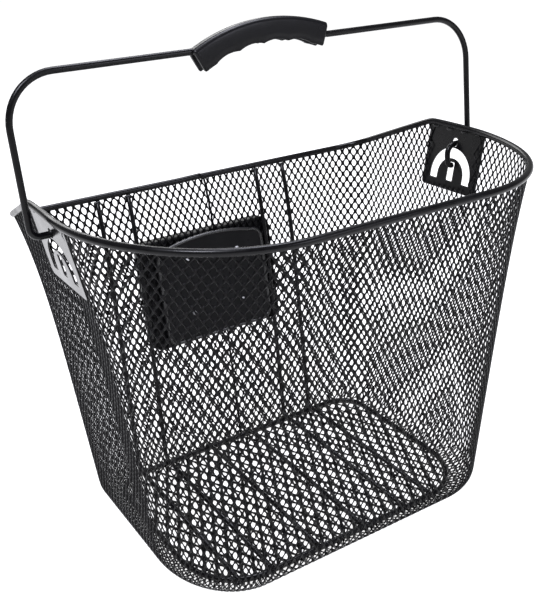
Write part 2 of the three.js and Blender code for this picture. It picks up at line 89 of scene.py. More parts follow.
RING_Z = (ring_low[2] + ring_high[2]) / 2
RIM_Z = 0.2665  # rim wire's middle ahead of the ears
RIM_DROP = 0.389  # fall of the rim over y behind the ears
EAR_Y = 0.0315
EAR_BLEND = 0.003
EAR_LIFT = 0.1 * EAR_BLEND  # raises the blended kink back towards the sharp one
TURN_HEIGHT = 0.019  # of the quarter turn at the wall's foot
TURN_HEIGHT_BACK = 0.0040
TURN_ARC = 0.78  # length of a quarter ellipse over the sum of its half axes
# the wall leans out in a straight part and a flare near the rim
STRAIGHT_SHARE_BACK = 0.61
STRAIGHT_SHARE_FRONT = 0.86
FLARE_POWER = 6
# over y the wall's sides blend from the back's shape to the front's
FRONT_FROM = 0.020
FRONT_FULL = -0.070
MOUTH_SKEW = 0.003  # the mouth's front sits to -X
# where the foot's shallow turn under the flat back begins and ends
BACK_FROM_Y = 0.04
BACK_BLEND_Y = 0.03
BACK_HALF = 0.112
BACK_BLEND_X = 0.02

# ---- shapes of the wall --------------------------------------------------------------------------


def half_outline(half, front, back, corner, back_radius):
    """Right half of an outline, from the middle of the back to the middle of the front."""
    flat = half - back_radius
    side_start = back - back_radius
    side_end = corner[1] - front
    front_flat = half - corner[0]
    share = np.arange(OUTLINE_STEPS) / OUTLINE_STEPS
    angle = share * math.pi / 2
    ones = np.ones(OUTLINE_STEPS)
    return np.vstack(
        [
            np.c_[flat * share, back * ones],
            np.c_[flat + back_radius * np.sin(angle), side_start + back_radius * np.cos(angle)],
            np.c_[half * ones, side_start + (side_end - side_start) * share],
            np.c_[front_flat + corner[0] * np.cos(angle), side_end - corner[1] * np.sin(angle)],
            np.c_[front_flat * (1 - share), -front * ones],
            [[0, -front]],
        ]
    )


def full_outline(shape):
    right = half_outline(**shape)
    left = right[-2:0:-1] * [-1, 1]
    loop = np.vstack([right, left])
    return np.vstack([loop, loop[:1]])


def frontness(loop):
    """0 behind the middle of the sides, 1 along the front."""
    share = np.clip((FRONT_FROM - loop[:, 1]) / (FRONT_FROM - FRONT_FULL), 0, 1)
    return share * share * (3 - 2 * share)


mouth = full_outline(MOUTH)
FRONTNESS = frontness(mouth)
mouth[:, 0] -= MOUTH_SKEW * FRONTNESS
skirt = full_outline(SKIRT)
ring = full_outline(RING)


def around(loop_a, loop_b):
    """Share of the way round at each outline point, by arc length halfway between two outlines."""
    middle = (loop_a + loop_b) / 2
    length = np.r_[0, np.cumsum(np.linalg.norm(np.diff(middle, axis=0), axis=1))]
    return length / length[-1]


WAY = around(mouth, skirt)
PERIMETER = float(np.linalg.norm(np.diff((mouth + skirt) / 2, axis=0), axis=1).sum())


def on_outline(loop, way):
    """Points of an outline at shares `way` of the way round."""
    way = np.mod(way, 1.0)
    return np.stack([np.interp(way, WAY, loop[:, 0]), np.interp(way, WAY, loop[:, 1])], axis=-1)


def taper(way, z):
    """How far the wall has leant from the skirt's outline, 0, to the mouth's, 1."""
    rise = (z - RING_Z) / (RIM_Z - RING_Z)
    front = np.interp(np.mod(way, 1.0), WAY, FRONTNESS)
    straight = STRAIGHT_SHARE_BACK + (STRAIGHT_SHARE_FRONT - STRAIGHT_SHARE_BACK) * front
    return straight * rise + (1 - straight) * np.clip(rise, 0, None) ** FLARE_POWER


def wall(way, z):
    """The wall's middle surface at a share of the way round and a height."""
    share = taper(way, z)[..., None]
    place = on_outline(skirt, way) * (1 - share) + on_outline(mouth, way) * share
    return np.concatenate([place, np.asarray(z)[..., None]], axis=-1)


RIM_TURNS = 12


def rim_height(y):
    """Rim height over y, with the ear's kink rounded."""
    over = y - EAR_Y
    behind = (over + np.sqrt(over * over + EAR_BLEND**2)) / 2
    return RIM_Z - RIM_DROP * (behind - EAR_LIFT)


def rim_z(way):
    """Rim height round the wall; the wall leans, so height and place are found in turns."""
    z = np.full(np.shape(way), RIM_Z)
    for _ in range(RIM_TURNS):
        z = rim_height(wall(way, z)[..., 1])
    return z


RIM_WAYS = np.linspace(0, 1, 721)
RIM_HEIGHTS = rim_z(RIM_WAYS)

# the turned-in foot of the wall, from the ring line at height 0 up to FOOT_TOP
FOOT_TOP = 0.025
FOOT_LENGTH = 0.032


def foot(way, share):
    """Middle surface of the turned-in foot; share 0 is the ring line and 1 is at FOOT_TOP."""
    inner = on_outline(ring, way)
    outer = on_outline(skirt, way)
    back = np.clip((inner[..., 1] - BACK_FROM_Y) / BACK_BLEND_Y, 0, 1)
    back = back * np.clip((BACK_HALF - np.abs(inner[..., 0])) / BACK_BLEND_X, 0, 1)
    height = TURN_HEIGHT_BACK * back + TURN_HEIGHT * (1 - back)
    width = np.linalg.norm(outer - inner, axis=-1)
    width = np.where(back > 0.5, np.abs(outer - inner)[..., 1], width)
    turn_length = TURN_ARC * (height + width)
    whole = turn_length + FOOT_TOP - SHEET / 2 - height
    along = share * whole
    angle = np.clip(along / turn_length, 0, 1) * math.pi / 2
    z = SHEET / 2 + height * (1 - np.cos(angle)) + np.clip(along - turn_length, 0, None)
    outer_now = wall(way, z)[..., :2]
    place = inner + (outer_now - inner) * np.sin(angle)[..., None]
    return np.concatenate([place, z[..., None]], axis=-1)


def skin(way, height):
    """The wall over a running height, which is z on the wall and follows the foot below it."""
    share = np.clip((height - FOOT_TOP + FOOT_LENGTH) / FOOT_LENGTH, 0, 1)
    low = foot(way, share)
    high = wall(way, np.maximum(height, FOOT_TOP))
    return np.where((height < FOOT_TOP)[..., None], low, high)


def normals(surface, way, height, step=1 * MM):
    aside = step / PERIMETER
    along = surface(way + aside, height) - surface(way - aside, height)
    up = surface(way, height + step) - surface(way, height - step)
    normal = np.cross(up, along)
    return normal / np.linalg.norm(normal, axis=-1, keepdims=True)


# ---- materials -----------------------------------------------------------------------------------

NOISE_RANGE = (0.3, 0.7)  # where nearly all of a noise texture's values lie
COAT_IOR = 1.46
COAT_BLACK = (0.0030, 0.0030, 0.0036)
COAT_DARK = (0.0020, 0.0020, 0.0026)
COAT_LIGHT = (0.0050, 0.0049, 0.0058)
COAT_SPREAD = (-0.06, 0.09)  # of the roughness round its mean
PEEL_DEPTH = 0.12 * MM
PLASTIC_IOR = 1.47
PLASTIC_SPREAD = (0.08, -0.06)
GRAIN_DEPTH = 0.08 * MM
ZINC_DARK = (0.70, 0.70, 0.72)
ZINC_LIGHT = (0.90, 0.90, 0.92)
ZINC_STRETCH = (1, 1, 6)
ZINC_ROUGHNESS = (0.42, 0.6)
ZINC_DEPTH = 0.05 * MM


def new_material(name):
    material = bpy.data.materials.new(name)
    material.use_nodes = True
    nodes = material.node_tree.nodes
    return material, nodes, material.node_tree.links, nodes["Principled BSDF"]


def add_noise(nodes, links, scale, detail, stretch=None):
    """Noise over the object's own coordinates; stretch slows it along chosen axes."""
    coordinates = nodes.new("ShaderNodeTexCoord")
    noise = nodes.new("ShaderNodeTexNoise")
    noise.inputs["Scale"].default_value = scale
    noise.inputs["Detail"].default_value = detail
    if stretch is None:
        links.new(coordinates.outputs["Object"], noise.inputs["Vector"])
    else:
        mapping = nodes.new("ShaderNodeMapping")
        mapping.inputs["Scale"].default_value = stretch
        links.new(coordinates.outputs["Object"], mapping.inputs["Vector"])
        links.new(mapping.outputs["Vector"], noise.inputs["Vector"])
    return noise.outputs["Fac"]


def add_ramp(nodes, links, factor, low, high):
    """Maps a factor to a range of roughness or another number."""
    span = nodes.new("ShaderNodeMapRange")
    span.inputs["From Min"].default_value, span.inputs["From Max"].default_value = NOISE_RANGE
    span.inputs["To Min"].default_value = low
    span.inputs["To Max"].default_value = high
    links.new(factor, span.inputs["Value"])
    return span.outputs["Result"]


def add_mix(nodes, links, factor, first, second):
    mix = nodes.new("ShaderNodeMix")
    mix.data_type = "RGBA"
    mix.inputs["A"].default_value = (*first, 1)
    mix.inputs["B"].default_value = (*second, 1)
    links.new(factor, mix.inputs["Factor"])
    return mix.outputs["Result"]


def add_roughness(nodes, links, shader, factor, low, high):
    links.new(add_ramp(nodes, links, factor, low, high), shader.inputs["Roughness"])


def add_tone(nodes, links, shader, factor, dark, light):
    share = add_ramp(nodes, links, factor, 0, 1)
    links.new(add_mix(nodes, links, share, dark, light), shader.inputs["Base Color"])


def add_bump(nodes, links, shader, factor, strength, distance):
    bump = nodes.new("ShaderNodeBump")
    bump.inputs["Strength"].default_value = strength
    bump.inputs["Distance"].default_value = distance
    links.new(factor, bump.inputs["Height"])
    links.new(bump.outputs["Normal"], shader.inputs["Normal"])


def powder_coat(name, roughness, orange_peel, gloss, toned=True):
    """Black powder coat: satin paint with a fine orange-peel surface and slightly uneven gloss."""
    material, nodes, links, shader = new_material(name)
    shader.inputs["Base Color"].default_value = (*COAT_BLACK, 1)
    shader.inputs["IOR"].default_value = COAT_IOR
    shader.inputs["Specular IOR Level"].default_value = gloss
    patches = add_noise(nodes, links, scale=45, detail=4)
    add_roughness(nodes, links, shader, patches, *(roughness + s for s in COAT_SPREAD))
    peel = add_noise(nodes, links, scale=900, detail=3)
    add_bump(nodes, links, shader, peel, orange_peel, PEEL_DEPTH)
    if toned:
        clouds = add_noise(nodes, links, scale=160, detail=5)
        add_tone(nodes, links, shader, clouds, COAT_DARK, COAT_LIGHT)
    return material


def add_clear_coat(material, weight, roughness):
    """A glossy skin over the paint, which whitens a face seen at a grazing angle."""
    shader = material.node_tree.nodes["Principled BSDF"]
    shader.inputs["Coat Weight"].default_value = weight
    shader.inputs["Coat Roughness"].default_value = roughness


def moulded_plastic(name, dark, light, roughness, grain, gloss):
    """Moulded black plastic with a fine spark-eroded grain and faint handling marks."""
    material, nodes, links, shader = new_material(name)
    shader.inputs["IOR"].default_value = PLASTIC_IOR
    shader.inputs["Specular IOR Level"].default_value = gloss
    marks = add_noise(nodes, links, scale=60, detail=6)
    add_tone(nodes, links, shader, marks, dark, light)
    add_roughness(nodes, links, shader, marks, *(roughness + s for s in PLASTIC_SPREAD))
    pits = add_noise(nodes, links, scale=2600, detail=2)
    add_bump(nodes, links, shader, pits, grain, GRAIN_DEPTH)
    return material


def zinc_plate(name):
    """Bright zinc on steel with turning marks."""
    material, nodes, links, shader = new_material(name)
    shader.inputs["Metallic"].default_value = 1
    turned = add_noise(nodes, links, scale=700, detail=4, stretch=ZINC_STRETCH)
    add_tone(nodes, links, shader, turned, ZINC_DARK, ZINC_LIGHT)
    add_roughness(nodes, links, shader, turned, *ZINC_ROUGHNESS)
    add_bump(nodes, links, shader, turned, 0.15, ZINC_DEPTH)
    return material


# the mesh's own colour is plain, because its many small faces don't show a mottled one
MESH_COAT = powder_coat("mesh_coat", roughness=0.32, orange_peel=0.25, gloss=0.13, toned=False)
WIRE_COAT = powder_coat("wire_coat", roughness=0.24, orange_peel=0.25, gloss=0.24)
PLATE_COAT = powder_coat("plate_coat", roughness=0.30, orange_peel=0.40, gloss=0.14)
add_clear_coat(PLATE_COAT, weight=0.7, roughness=0.22)
GRIP_PLASTIC = moulded_plastic(
    "grip_black",
    dark=(0.0030, 0.0030, 0.0038),
    light=(0.0060, 0.0060, 0.0075),
    roughness=0.32,
    grain=0.3,
    gloss=0.22,
)
ADAPTER_PLASTIC = moulded_plastic(
    "adapter_black",
    dark=(0.0030, 0.0030, 0.0036),
    light=(0.0060, 0.0060, 0.0070),
    roughness=0.32,
    grain=0.3,
    gloss=0.20,
)
LIP_PLASTIC = moulded_plastic(
    "adapter_lip_black",
    dark=(0.0035, 0.0035, 0.0042),
    light=(0.0065, 0.0065, 0.0075),
    roughness=0.26,
    grain=0.1,
    gloss=0.90,
)
ZINC = zinc_plate("bright_zinc")

# ---- piece helpers -------------------------------------------------------------------------------


def link_piece(name, mesh, body, replaces):
    piece = bpy.data.objects.new(name, mesh)
    bpy.context.scene.collection.objects.link(piece)
    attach(piece, body)
    if replaces:
        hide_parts(*replaces)
    return piece


def make_piece(name, vertices, faces, material, body="basket", replaces=()):
    mesh = bpy.data.meshes.new(name)
    mesh.from_pydata([tuple(v) for v in vertices], [], faces)
    mesh.materials.append(material)
    mesh.shade_smooth()
    mesh.update()
    return link_piece(name, mesh, body, replaces)


# a wire's cut end is slightly domed: the dome's flat, and how far it stands out, over the radius
END_FLAT = 0.72
END_RISE = 0.22
ANY_DIRECTION = (0.31, 0.17, 0.93)  # not along any wire's start


def sweep(path, radius, sides, closed=False):
    """Vertices and faces of a round wire; its section is carried along without twist."""
    path = np.asarray(path, float)
    count = len(path)
    if closed:
        tangent = np.roll(path, -1, axis=0) - np.roll(path, 1, axis=0)
    else:
        tangent = np.gradient(path, axis=0)
    tangent /= np.linalg.norm(tangent, axis=1, keepdims=True)
    side = np.cross(tangent[0], ANY_DIRECTION)
    side /= np.linalg.norm(side)
    angles = np.arange(sides) * 2 * math.pi / sides
    rings = []
    for place, direction in zip(path, tangent):
        side = side - direction * np.dot(side, direction)
        side /= np.linalg.norm(side)
        other = np.cross(direction, side)
        circle = np.cos(angles)[:, None] * side + np.sin(angles)[:, None] * other
        rings.append(place + radius * circle)
    faces = []
    for index in range(count if closed else count - 1):
        start = index * sides
        following = ((index + 1) % count) * sides
        for step in range(sides):
            after = (step + 1) % sides
            faces.append((start + step, start + after, following + after, following + step))
    vertices = np.vstack(rings)
    if closed:
        return vertices, faces
    last = (count - 1) * sides
    for base, direction, flip in ((0, -tangent[0], False), (last, tangent[-1], True)):
        rim = vertices[base : base + sides]
        centre = rim.mean(axis=0)
        inner = centre + (rim - centre) * END_FLAT + direction * radius * END_RISE
        first = len(vertices)
        vertices = np.vstack([vertices, inner])
        for step in range(sides):
            after = (step + 1) % sides
            quad = (base + after, base + step, first + step, first + after)
            faces.append(quad[::-1] if flip else quad)
        disc = tuple(range(first, first + sides))
        faces.append(disc if flip else disc[::-1])
    return vertices, faces


def bent(corners, radii, arc_steps):
    """A bent wire's path: straight runs, and at each corner an arc of its own radius."""
    path = [Vector(corners[0])]
    for index, radius in enumerate(radii, start=1):
        corner = Vector(corners[index])
        back = (Vector(corners[index - 1]) - corner).normalized()
        ahead = (Vector(corners[index + 1]) - corner).normalized()
        half = back.angle(ahead) / 2
        centre = corner + (back + ahead).normalized() * (radius / math.sin(half))
        reach = radius / math.tan(half)
        start = corner + back * reach - centre
        axis = start.cross(corner + ahead * reach - centre).normalized()
        turn = math.pi - 2 * half
        for step in range(arc_steps + 1):
            path.append(centre + Matrix.Rotation(turn * step / arc_steps, 3, axis) @ start)
    path.append(Vector(corners[-1]))
    return path


WELD_FULLNESS = 1.15
WELD_TAPER = 0.35
WELD_LEAST = 0.4
WELD_SIDES = 10


def weld_bead(place, direction, length, radius):
    """A small resistance-weld bead: a blob along a direction that gets thinner to its ends."""
    along = Vector(direction).normalized() * length
    path = [Vector(place) + along * (step / 4 - 0.5) for step in range(5)]
    vertices, faces = sweep(path, radius, WELD_SIDES)
    centre = np.array(place)
    reach = np.linalg.norm(vertices - centre, axis=1) / (length / 2 + radius)
    scale = np.sqrt(np.clip(WELD_FULLNESS - WELD_TAPER * reach**2, WELD_LEAST, 1))
    return centre + (vertices - centre) * scale[:, None], faces


# ---- expanded mesh -------------------------------------------------------------------------------

COLUMNS = 165  # cells round the wall in one row
# The photograph's mesh spreads unevenly round the wall. These are columns per length against the
# mean, at even steps of the way round, as estimated from the photograph.
DENSITY_FOOT = [
    *(1.03, 1.02, 0.99, 0.89, 0.97, 0.88, 0.97, 1.13, 1.11, 0.98, 0.99, 1.00, 1.12, 1.22),
    *(1.13, 1.07, 0.95, 0.94, 0.92, 1.00, 1.01, 0.98, 1.00, 1.04, 1.03, 1.02, 1.04),
]
DENSITY_MOUTH = [
    *(1.05, 1.09, 1.00, 0.88, 0.91, 0.85, 1.03, 1.08, 1.17, 1.10, 1.00, 1.06, 1.13, 1.09),
    *(1.00, 0.90, 1.20, 1.20, 1.05, 0.92, 0.99, 0.97, 1.00, 0.98, 0.95, 0.97, 1.03),
]
ROWS = 60
ROW = 5.25 * MM  # height between staggered rows near the floor
ROW_SHRINK = 0.0055 * MM  # rows get closer towards the rim
STRAND_THICKNESS = 1.0 * MM
CELL_FOOT = 0.75  # rows from a cell's centre down to near its lower corner
HOLE_INSET = 0.45 * MM  # least distance of a hole from the sheet's edge
WAVE = 5.5 * MM  # rows rise and fall round the wall, most near the rim
WAVES = 3
WAVE_POWER = 1.5
CELL = np.array([9.8, 9.9]) * MM  # floor cell: width and half height
PLATE_INSET = 0.0265  # half width of the opening behind each bail plate
PLATE_LAP = 0.5 * MM
RIM_LAP = 0.8 * MM
PANELS = ("back_right", "front_right", "front_left", "back_left")
# the seam where the sheet's cut ends lap
SEAM_WAY = 0.003
SEAM_WAVE = 0.0004
SEAM_STRAND = 1.9 * MM
SEAM_SINK = 0.4  # into the sheet, over its thickness
SEAM_POINTS = 160
SEAM_SIDES = 8


def hole_shape(width, height, slant):
    """A rounded diamond: shares of the cell's half width, half height and slanted sides."""
    quarter = [(width, 0), (slant, slant), (0, height), (-slant, slant)]
    return np.array(quarter + [(-x, -y) for x, y in quarter])


WALL_HOLE = hole_shape(width=0.605, height=0.625, slant=0.395)
FLOOR_HOLE = hole_shape(width=0.63, height=0.65, slant=0.385)
BORDER = np.array([(2, 0), (1, 1), (0, 2), (-1, 1), (-2, 0), (-1, -1), (0, -2), (1, -1)])
SAME_PLACE = 2e-6  # points nearer than this are one


def lattice(cells, place, hole):
    """Expanded mesh over the given cells.

    cells are integer centres in quarter columns and half rows. place maps column and row
    coordinates, with an edge inset for hole points, to middle-surface points and normals.
    """
    corners = cells[:, None, :] + BORDER[None, :, :]
    unique, index = np.unique(corners.reshape(-1, 2), axis=0, return_inverse=True)
    index = index.reshape(-1, 8)
    border_points, border_normals = place(unique[:, 0] / 4, unique[:, 1] / 2, 0.0)
    centres = cells[:, None, :] / np.array([4, 2])
    holes = (centres + hole[None] * np.array([0.5, 1.0])).reshape(-1, 2)
    hole_points, _ = place(holes[:, 0], holes[:, 1], HOLE_INSET)
    lift = border_normals * STRAND_THICKNESS / 2
    count = len(unique)
    vertices = np.vstack([border_points + lift, border_points - lift, hole_points])
    hole_index = (2 * count + np.arange(len(holes))).reshape(-1, 8)
    faces = []
    for step in range(8):
        after = (step + 1) % 8
        here, there = index[:, step], index[:, after]
        hole_here, hole_there = hole_index[:, step], hole_index[:, after]
        faces.append(np.stack([here, there, hole_there, hole_here], axis=1))
        faces.append(np.stack([there + count, here + count, hole_here, hole_there], axis=1))
    return vertices, np.vstack(faces)


def tidy_lattice(vertices, faces):
    """Drops the faces that squeezing cells against an edge has flattened, and unused points."""
    rounded = np.round(vertices / SAME_PLACE).astype(np.int64)
    _, first, same = np.unique(rounded, axis=0, return_index=True, return_inverse=True)
    same = same.reshape(-1)
    faces = same[faces]
    vertices = vertices[first]
    kept = []
    for quad in faces.tolist():
        distinct = [v for k, v in enumerate(quad) if v != quad[k - 1]]
        if len(set(distinct)) >= 3:
            kept.append(tuple(distinct))
    return vertices, kept


def row_height(row):
    return FOOT_TOP - FOOT_LENGTH + ROW * row - ROW_SHRINK * row * row


def column_line(density):
    """Columns counted from the middle of the back, at the stations of a density table."""
    closed = np.array([*density, density[0]])
    counted = np.r_[0, np.cumsum((closed[1:] + closed[:-1]) / 2)]
    return counted * COLUMNS / counted[-1]


STATIONS = np.linspace(0, 1, len(DENSITY_FOOT) + 1)
FOOT_LINE = column_line(DENSITY_FOOT)
MOUTH_LINE = column_line(DENSITY_MOUTH)


def column_way(column, height):
    """Share of the way round of a column, which leans a little as it rises."""
    turns, rest = np.divmod(column, COLUMNS)
    low = np.interp(rest, FOOT_LINE, STATIONS)
    high = np.interp(rest, MOUTH_LINE, STATIONS)
    share = np.clip(height / RIM_Z, 0, 1)
    return turns + low * (1 - share) + high * share


def wall_place(column, row, inset):
    height = row_height(row)
    way = column_way(column, height)
    fall = (1 - np.cos(2 * math.pi * WAVES * way)) / 2
    height = height - WAVE * fall * np.clip(height / RIM_Z, 0, 1) ** WAVE_POWER
    top = np.interp(np.mod(way, 1), RIM_WAYS, RIM_HEIGHTS) - inset
    height = np.clip(height, FOOT_TOP - FOOT_LENGTH + inset, top)
    return skin(way, height), normals(skin, way, height)


def staggered(rows, columns):
    """Cell centres in quarter columns and half rows, every second row shifted by half a cell."""
    return np.array([(4 * column + 2 * (row % 2), 2 * row) for row in rows for column in columns])


def wall_cells():
    """Cells of the wall below the rim and clear of the bail plates."""
    cells = staggered(range(ROWS + 1), range(COLUMNS))
    column = cells[:, 0] / 4
    row = cells[:, 1] / 2
    bottom, _ = wall_place(column, row - CELL_FOOT, 0.0)
    centre, _ = wall_place(column, row, 0.0)
    way = column_way(column, row_height(row))
    top = np.interp(np.mod(way, 1), RIM_WAYS, RIM_HEIGHTS)
    below_rim = bottom[:, 2] < top - RIM_LAP
    beside_plate = np.abs(centre[:, 1]) < PLATE_INSET
    behind_plate = beside_plate & (centre[:, 2] > plate_low[2] + PLATE_LAP)
    return cells[below_rim & ~behind_plate]


def build_wall_mesh():
    cells = wall_cells()
    for number, name in enumerate(PANELS):
        low = COLUMNS * number / len(PANELS)
        high = COLUMNS * (number + 1) / len(PANELS)
        mine = cells[(cells[:, 0] / 4 >= low) & (cells[:, 0] / 4 < high)]
        vertices, faces = tidy_lattice(*lattice(mine, wall_place, WALL_HOLE))
        make_piece(
            f"wall_mesh_{name}",
            vertices,
            faces,
            MESH_COAT,
            replaces=["side_mesh"],
        )


def build_seam():
    """One heavier, slightly wavy strand near the middle of the back, where the sheet's ends lap."""
    top = np.interp(SEAM_WAY, RIM_WAYS, RIM_HEIGHTS) - RIM_WIRE / 2
    heights = np.linspace(FOOT_TOP - FOOT_LENGTH + SHEET, top, SEAM_POINTS)
    ways = SEAM_WAY + SEAM_WAVE * np.sin(heights * math.pi / ROW)
    path = skin(ways, heights) - normals(skin, ways, heights) * STRAND_THICKNESS * SEAM_SINK
    vertices, faces = sweep(path, SEAM_STRAND / 2, SEAM_SIDES)
    make_piece("wall_mesh_seam", vertices, faces, MESH_COAT)


FLOOR_REACH = 1.012  # cells are kept whose centre is within this share of the outline


def build_floor_mesh():
    """The floor's own sheet of mesh, its edge cells squeezed against the ring's outline."""
    outline = ring[:-1]
    angles = np.arctan2(outline[:, 1], outline[:, 0])
    order = np.argsort(angles)
    angles = angles[order]
    reach = np.linalg.norm(outline[order], axis=1)

    def limit(x, y, inset):
        edge = np.interp(np.arctan2(y, x), angles, reach, period=2 * math.pi) - inset
        distance = np.hypot(x, y)
        scale = np.minimum(1, edge / np.maximum(distance, 1e-9))
        return x * scale, y * scale, distance / edge

    def place(column, row, inset):
        x, y, _ = limit(column * CELL[0], row * CELL[1], inset)
        points = np.stack([x, y, np.full_like(x, SHEET / 2)], axis=-1)
        up = np.tile((0.0, 0.0, 1.0), (len(points), 1))
        return points, up

    across = int(RING["half"] / CELL[0]) + 2
    deep = int(RING["back"] / CELL[1]) + 2
    cells = staggered(range(-deep, deep + 1), range(-across, across + 1))
    x = cells[:, 0] / 4 * CELL[0]
    y = cells[:, 1] / 2 * CELL[1]
    _, _, share = limit(x, y, 0.0)
    cells = cells[share < FLOOR_REACH]
    vertices, faces = tidy_lattice(*lattice(cells, place, FLOOR_HOLE))
    faces = [face[::-1] for face in faces]
    make_piece(
        "floor_panel", vertices, faces, MESH_COAT, replaces=["floor_mesh"]
    )


# ---- frame wires ---------------------------------------------------------------------------------

BUTT_GAP = 0.35 * MM  # half the gap where a hoop's two ends meet
BUTT_STEP = 0.5 * MM  # the rim's second end sits a little higher than its first
BUTT_POINTS = 8
RIM_POINTS = 361
RIM_SIDES = 20
RING_POINTS = 241
RING_SIDES = 16
RIB_SIDES = 14


def hoop_ways(points):
    """Shares of the way round that stop short of each other at the hoop's butt joint."""
    ways = np.linspace(0, 1, points)
    return ways + BUTT_GAP / PERIMETER * (1 - 2 * ways)


def build_rim():
    ways = hoop_ways(RIM_POINTS)
    path = wall(ways, rim_z(ways))
    path[-BUTT_POINTS:, 2] += np.linspace(0, BUTT_STEP, BUTT_POINTS)
    vertices, faces = sweep(path, RIM_WIRE / 2, RIM_SIDES)
    make_piece("rim_hoop", vertices, faces, WIRE_COAT, replaces=["top_rim"])


def build_ring():
    place = on_outline(ring, hoop_ways(RING_POINTS))
    path = np.c_[place, np.full(len(place), RING_Z)]
    vertices, faces = sweep(path, RING_WIRE / 2, RING_SIDES)
    make_piece(
        "base_hoop", vertices, faces, WIRE_COAT, replaces=["base_ring"]
    )


FLOOR_WIRE_Z = RING_Z + (RING_WIRE + RIB_WIRE) / 2 + GAP
RIB_OFFSET = (SHEET + RIB_WIRE) / 2 + GAP
RIB_TOP_X = np.array([-91.7, -66, 50.2, 77]) * MM
RIB_FOOT_X = np.array([-97, -72, 47.5, 74.5]) * MM
RIB_BEND = 8 * MM
RIB_BEND_STEPS = 8
RIB_BEND_TOP = 0.024
RIB_POINTS = 24
CROSS_WIRE_Y = 0.03  # the cross wires' inner points


def back_wall_y(z):
    return float(wall(np.array(0.0), np.array(z))[1])


def build_ribs():
    top = rib_high[2]
    for number, (top_x, foot_x) in enumerate(zip(RIB_TOP_X, RIB_FOOT_X), start=1):
        heights = np.linspace(top, RIB_BEND_TOP, RIB_POINTS)
        lean = (top_x - foot_x) / top
        stand = [(foot_x + lean * z, back_wall_y(z) - RIB_OFFSET, z) for z in heights]
        corner = (foot_x, back_wall_y(FLOOR_WIRE_Z) - RIB_OFFSET, FLOOR_WIRE_Z)
        end = (foot_x, rib_low[1], FLOOR_WIRE_Z)
        path = [Vector(point) for point in stand[:-1]]
        path += bent([stand[-1], corner, end], [RIB_BEND], RIB_BEND_STEPS)
        vertices, faces = sweep(path, RIB_WIRE / 2, RIB_SIDES)
        make_piece(
            f"rib_{number}",
            vertices,
            faces,
            WIRE_COAT,
            replaces=[f"back_rib_{number}"],
        )


def build_floor_wires():
    for number in (1, 2):
        low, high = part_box(f"floor_wire_{number}")
        x = (low[0] + high[0]) / 2
        path = [(x, y, FLOOR_WIRE_Z) for y in (high[1], CROSS_WIRE_Y, -CROSS_WIRE_Y, low[1])]
        vertices, faces = sweep(path, RIB_WIRE / 2, RIB_SIDES)
        make_piece(
            f"cross_wire_{number}",
            vertices,
            faces,
            WIRE_COAT,
            replaces=[f"floor_wire_{number}"],
        )


def join_parts(parts):
    """One list of vertices and one of faces from several pairs of them."""
    vertices = []
    faces = []
    offset = 0
    for part_vertices, part_faces in parts:
        vertices.append(np.asarray(part_vertices))
        faces.extend(tuple(v + offset for v in face) for face in part_faces)
        offset += len(part_vertices)
    return np.vstack(vertices), faces


RIM_WELD = dict(
    inside=2.0 * MM, above=0.4 * MM, along=(1, 0, 0.1), length=4.6 * MM, radius=1.6 * MM
)
RING_WELD = dict(above=2.2 * MM, length=5.2 * MM, radius=1.5 * MM)


def build_welds():
    """Beads where ribs meet the rim and where floor wires cross the ring."""
    beads = []
    top = rib_high[2]
    for x in RIB_TOP_X:
        place = (x, back_wall_y(top) - RIM_WELD["inside"], top + RIM_WELD["above"])
        beads.append(weld_bead(place, RIM_WELD["along"], RIM_WELD["length"], RIM_WELD["radius"]))
    cross_x = [sum(corner[0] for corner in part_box(f"floor_wire_{n}")) / 2 for n in (1, 2)]
    for x in (*RIB_FOOT_X, *cross_x):
        for y in (RING["back"], -RING["front"]):
            place = (x, y, RING_Z + RING_WELD["above"])
            beads.append(weld_bead(place, (1, 0, 0), RING_WELD["length"], RING_WELD["radius"]))
    vertices, faces = join_parts(beads)
    make_piece("weld_beads", vertices, faces, WIRE_COAT)


# ---- bail ----------------------------------------------------------------------------------------

BAIL_LEAN = math.radians(5.8)
BAIL_HEIGHT = 95.6 * MM
BAIL_TOP_X = 180 * MM
BAIL_FOOT_X = 179.3 * MM
BAIL_BENDS = [4.2 * MM, 8 * MM, 6 * MM, 31 * MM, 12 * MM]  # from the tip to the grip
BAIL_BEND_STEPS = 14
BAIL_SIDES = 20
HOOK_X = 157.5 * MM
HOOK_DROP = 16.5 * MM
TIP_X = 161.75 * MM  # the end turns out and stops short of the plate
ARCH_RADIUS = 124 * MM
ARCH_RISE = 10 * MM
ARCH_CENTRE = BAIL_HEIGHT + ARCH_RISE - ARCH_RADIUS
ARCH_HALF_ANGLE = math.acos(1 - ARCH_RISE / ARCH_RADIUS)
ARCH_SHARES = np.linspace(0.8, 0.1, 12)  # points of one half, the first one after the last bend
BAIL_FRAME = Matrix.Translation(HINGE) @ Matrix.Rotation(-BAIL_LEAN, 4, "X")


def on_bail(points):
    return [BAIL_FRAME @ Vector(point) for point in points]


def arch_point(angle):
    return (ARCH_RADIUS * math.sin(angle), 0, ARCH_CENTRE + ARCH_RADIUS * math.cos(angle))


